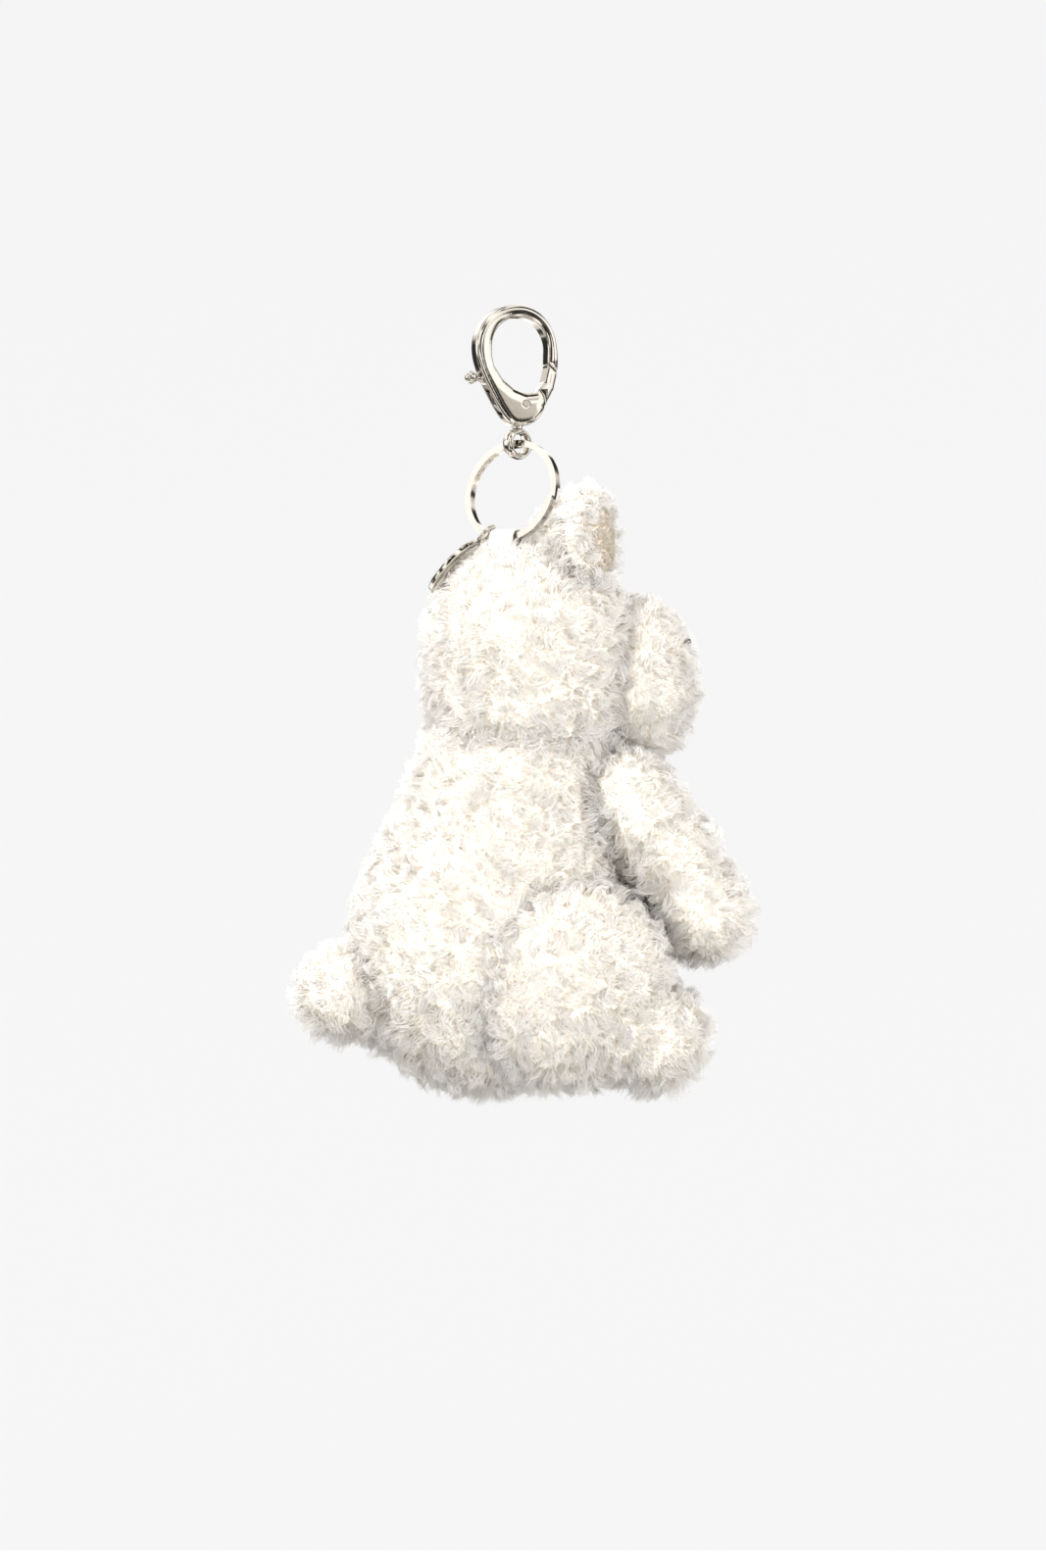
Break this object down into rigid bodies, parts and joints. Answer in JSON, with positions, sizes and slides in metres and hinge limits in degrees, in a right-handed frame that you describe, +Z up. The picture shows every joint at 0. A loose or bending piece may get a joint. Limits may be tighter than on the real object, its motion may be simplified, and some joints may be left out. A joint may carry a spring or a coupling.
{
  "type": "plush keychain",
  "caption": "Seated fluffy plush animal hanging by a ribbon loop from a split ring with a blank round tag and a swivel lobster clasp.",
  "frame": {"origin": "inner top of the clasp's hook, where it hangs on a strap or bag ring", "axes": "+Z up along the hanging line, +X the way the plush faces, -Y its right-hand side"},
  "size_m": [0.1026, 0.061, 0.1831],
  "materials": {
    "nickel": "polished",
    "spring_steel": "satin",
    "ribbon": "satin",
    "thread": "matte",
    "plush": "matte",
    "lining": "matte",
    "stuffing": "matte",
    "black_plastic": "gloss",
    "washer_plastic": "matte"
  },
  "bodies": {
    "clasp": {"clasp_body": "nickel", "gate_pin": "nickel", "gate_spring": "spring_steel"},
    "gate": {"gate_lever": "nickel"},
    "swivel": {"swivel_eye": "nickel"},
    "ring": {"split_ring": "nickel"},
    "tag": {"tag_bail": "nickel", "tag_disc": "nickel"},
    "head": {"ribbon_loop": "ribbon", "ribbon_stitches": "thread", "head_cover": "plush", "head_stuffing": "stuffing", "muzzle_cover": "plush", "muzzle_stuffing": "stuffing", "eye_left": "black_plastic", "eye_right": "black_plastic", "eye_washer_left": "washer_plastic", "eye_washer_right": "washer_plastic", "nose": "black_plastic", "nose_washer": "washer_plastic"},
    "ear_left": {"ear_left": "plush", "ear_lining_left": "lining"},
    "ear_right": {"ear_right": "plush", "ear_lining_right": "lining"},
    "torso": {"torso_cover": "plush", "torso_stuffing": "stuffing"},
    "arm_left": {"arm_cover_left": "plush", "arm_stuffing_left": "stuffing"},
    "arm_right": {"arm_cover_right": "plush", "arm_stuffing_right": "stuffing"},
    "leg_left": {"leg_cover_left": "plush", "leg_stuffing_left": "stuffing"},
    "leg_right": {"leg_cover_right": "plush", "leg_stuffing_right": "stuffing"},
    "tail": {"tail_cover": "plush", "tail_stuffing": "stuffing"}
  },
  "joints": [
    {"name": "gate_hinge", "type": "hinge", "parent": "clasp", "child": "gate", "pos_m": [0.00112, 0.00024, -0.0204], "axis": [0.2079, -0.9781, 0], "range_deg": [0, 28], "stiffness_Nm_per_rad": 0.02, "springref_deg": -20.05, "deforming": ["gate_spring"]},
    {"name": "swivel_turn", "type": "hinge", "parent": "clasp", "child": "swivel", "pos_m": [0, 0, -0.0256], "axis": [0, 0, 1], "continuous": true},
    {"name": "ring_swing", "type": "hinge", "parent": "swivel", "child": "ring", "pos_m": [0, 0, -0.02975], "axis": [0.7071, -0.7071, 0], "range_deg": [-60, 60]},
    {"name": "tag_swing", "type": "hinge", "parent": "ring", "child": "tag", "pos_m": [-0.00738, 0.00093, -0.0512], "axis": [-0.5389, 0.6859, 0.4891], "range_deg": [-3, 70]},
    {"name": "plush_swing", "type": "hinge", "parent": "ring", "child": "head", "pos_m": [-0.00345, -0.00345, -0.05274], "axis": [0.7071, -0.7071, 0], "range_deg": [-15, 30]},
    {"name": "neck_flex", "type": "hinge", "parent": "head", "child": "torso", "pos_m": [0, -0.00345, -0.105], "axis": [0, -1, 0], "range_deg": [-8, 8], "stiffness_Nm_per_rad": 0.05},
    {"name": "arm_flex_left", "type": "hinge", "parent": "torso", "child": "arm_left", "pos_m": [0.0237, 0.00905, -0.114], "axis": [0, -1, 0], "range_deg": [-5, 25], "stiffness_Nm_per_rad": 0.02},
    {"name": "leg_flex_left", "type": "hinge", "parent": "torso", "child": "leg_left", "pos_m": [0.0094, 0.01605, -0.156], "axis": [0, -1, 0], "range_deg": [-6, 6], "stiffness_Nm_per_rad": 0.03},
    {"name": "ear_flex_left", "type": "hinge", "parent": "head", "child": "ear_left", "pos_m": [0.0139, 0.00955, -0.0612], "axis": [-0.766, 0.6428, 0], "range_deg": [-12, 12], "stiffness_Nm_per_rad": 0.004},
    {"name": "arm_flex_right", "type": "hinge", "parent": "torso", "child": "arm_right", "pos_m": [0.0237, -0.01595, -0.114], "axis": [0, -1, 0], "range_deg": [-5, 25], "stiffness_Nm_per_rad": 0.02},
    {"name": "leg_flex_right", "type": "hinge", "parent": "torso", "child": "leg_right", "pos_m": [0.0094, -0.02295, -0.156], "axis": [0, -1, 0], "range_deg": [-6, 6], "stiffness_Nm_per_rad": 0.03},
    {"name": "ear_flex_right", "type": "hinge", "parent": "head", "child": "ear_right", "pos_m": [0.0139, -0.01645, -0.0612], "axis": [0.766, 0.6428, 0], "range_deg": [-12, 12], "stiffness_Nm_per_rad": 0.004},
    {"name": "tail_wag", "type": "hinge", "parent": "torso", "child": "tail", "pos_m": [-0.035, -0.00345, -0.161], "axis": [0, 0, 1], "range_deg": [-8, 8], "stiffness_Nm_per_rad": 0.01}
  ]
}
